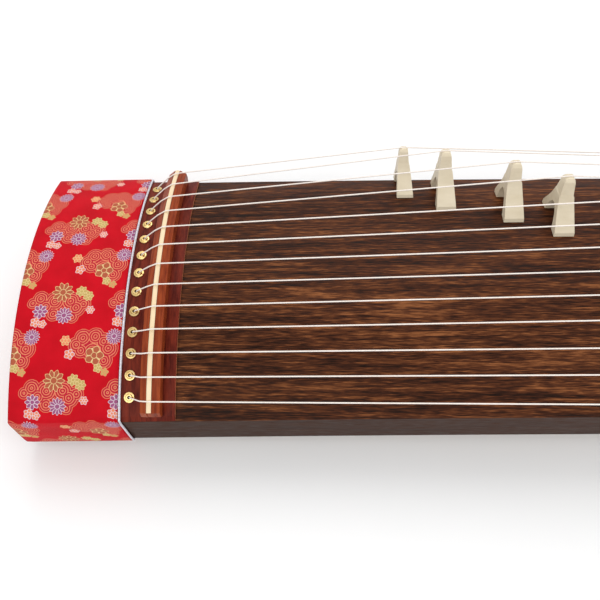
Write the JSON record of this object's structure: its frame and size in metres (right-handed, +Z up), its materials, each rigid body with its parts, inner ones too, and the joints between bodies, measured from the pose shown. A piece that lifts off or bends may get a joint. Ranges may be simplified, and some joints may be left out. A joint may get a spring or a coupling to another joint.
{
  "type": "koto",
  "caption": "Long arched zither: scorched-wood body on feet, taut strings over movable bridges, rosewood string plate with brass eyelets, fitted red brocade head cover.",
  "frame": {"origin": "on the floor under the feet, at the middle of the footprint", "axes": "+Z up; +X along the body from the covered head to the tail; -Y is the side of the first string"},
  "size_m": [1.8268, 0.2614, 0.1676],
  "materials": {
    "scorched_paulownia": "scorched and waxed, strong lengthwise grain",
    "bare_paulownia": "bare planed wood",
    "rosewood": "satin",
    "orange_rosewood": "satin",
    "cream_inlay": "satin",
    "brass": "polished",
    "white_string": "waxed twisted string",
    "cream_plastic": "satin",
    "red_brocade": "woven brocade with gold and pink clouds and flowers",
    "pale_piping": "corded edge"
  },
  "bodies": {
    "koto": {"body_shell": "scorched_paulownia", "back_board": "bare_paulownia", "head_block": "bare_paulownia", "tail_block": "bare_paulownia", "brace_head": "bare_paulownia", "brace_middle": "bare_paulownia", "brace_tail": "bare_paulownia", "head_string_plate": "rosewood", "tail_string_plate": "rosewood", "oak_leaf_plate": "rosewood", "head_bridge": "orange_rosewood", "head_bridge_inlay": "cream_inlay", "tail_bridge": "orange_rosewood", "tail_bridge_inlay": "cream_inlay", "head_cover": "red_brocade", "cover_piping": "pale_piping", "front_foot": "rosewood", "rear_foot_left": "rosewood", "rear_foot_right": "rosewood", "string_01": "white_string", "string_02": "white_string", "string_03": "white_string", "string_04": "white_string", "string_05": "white_string", "string_06": "white_string", "string_07": "white_string", "string_08": "white_string", "string_09": "white_string", "string_10": "white_string", "string_11": "white_string", "string_12": "white_string", "string_13": "white_string", "head_eyelet_01": "brass", "head_eyelet_02": "brass", "head_eyelet_03": "brass", "head_eyelet_04": "brass", "head_eyelet_05": "brass", "head_eyelet_06": "brass", "head_eyelet_07": "brass", "head_eyelet_08": "brass", "head_eyelet_09": "brass", "head_eyelet_10": "brass", "head_eyelet_11": "brass", "head_eyelet_12": "brass", "head_eyelet_13": "brass"},
    "movable_bridge_01": {"bridge_01": "cream_plastic"},
    "movable_bridge_02": {"bridge_02": "cream_plastic"},
    "movable_bridge_03": {"bridge_03": "cream_plastic"},
    "movable_bridge_04": {"bridge_04": "cream_plastic"},
    "movable_bridge_05": {"bridge_05": "cream_plastic"},
    "movable_bridge_06": {"bridge_06": "cream_plastic"},
    "movable_bridge_07": {"bridge_07": "cream_plastic"},
    "movable_bridge_08": {"bridge_08": "cream_plastic"},
    "movable_bridge_09": {"bridge_09": "cream_plastic"},
    "movable_bridge_10": {"bridge_10": "cream_plastic"},
    "movable_bridge_11": {"bridge_11": "cream_plastic"},
    "movable_bridge_12": {"bridge_12": "cream_plastic"},
    "movable_bridge_13": {"bridge_13": "cream_plastic"}
  },
  "joints": [
    {"name": "bridge_01_slide", "type": "slide", "parent": "koto", "child": "movable_bridge_01", "axis": [1, 0, 0.0043], "range_m": [-0.06, 0.06], "deforming": ["string_01"]},
    {"name": "bridge_02_slide", "type": "slide", "parent": "koto", "child": "movable_bridge_02", "axis": [0.9999, 0, -0.0125], "range_m": [-0.042, 0.06], "deforming": ["string_02"]},
    {"name": "bridge_03_slide", "type": "slide", "parent": "koto", "child": "movable_bridge_03", "axis": [1, 0, -0.0073], "range_m": [-0.0171, 0.042], "deforming": ["string_03"]},
    {"name": "bridge_04_slide", "type": "slide", "parent": "koto", "child": "movable_bridge_04", "axis": [1, 0, -0.0046], "range_m": [-0.06, 0.0171], "deforming": ["string_04"]},
    {"name": "bridge_05_slide", "type": "slide", "parent": "koto", "child": "movable_bridge_05", "axis": [1, 0, 0.0041], "range_m": [-0.0095, 0.06], "deforming": ["string_05"]},
    {"name": "bridge_06_slide", "type": "slide", "parent": "koto", "child": "movable_bridge_06", "axis": [1, 0, 0.0061], "range_m": [-0.0546, 0.0095], "deforming": ["string_06"]},
    {"name": "bridge_07_slide", "type": "slide", "parent": "koto", "child": "movable_bridge_07", "axis": [0.9999, 0, 0.0125], "range_m": [-0.0171, 0.0546], "deforming": ["string_07"]},
    {"name": "bridge_08_slide", "type": "slide", "parent": "koto", "child": "movable_bridge_08", "axis": [0.9999, 0, 0.0152], "range_m": [-0.007, 0.0171], "deforming": ["string_08"]},
    {"name": "bridge_09_slide", "type": "slide", "parent": "koto", "child": "movable_bridge_09", "axis": [0.9999, 0, 0.017], "range_m": [-0.0336, 0.007], "deforming": ["string_09"]},
    {"name": "bridge_10_slide", "type": "slide", "parent": "koto", "child": "movable_bridge_10", "axis": [0.9998, 0, 0.0213], "range_m": [-0.01, 0.0336], "deforming": ["string_10"]},
    {"name": "bridge_11_slide", "type": "slide", "parent": "koto", "child": "movable_bridge_11", "axis": [0.9997, 0, 0.0233], "range_m": [-0.0191, 0.01], "deforming": ["string_11"]},
    {"name": "bridge_12_slide", "type": "slide", "parent": "koto", "child": "movable_bridge_12", "axis": [0.9997, 0, 0.0263], "range_m": [-0.0084, 0.0191], "deforming": ["string_12"]},
    {"name": "bridge_13_slide", "type": "slide", "parent": "koto", "child": "movable_bridge_13", "axis": [0.9996, 0, 0.028], "range_m": [-0.06, 0.0084], "deforming": ["string_13"]}
  ]
}
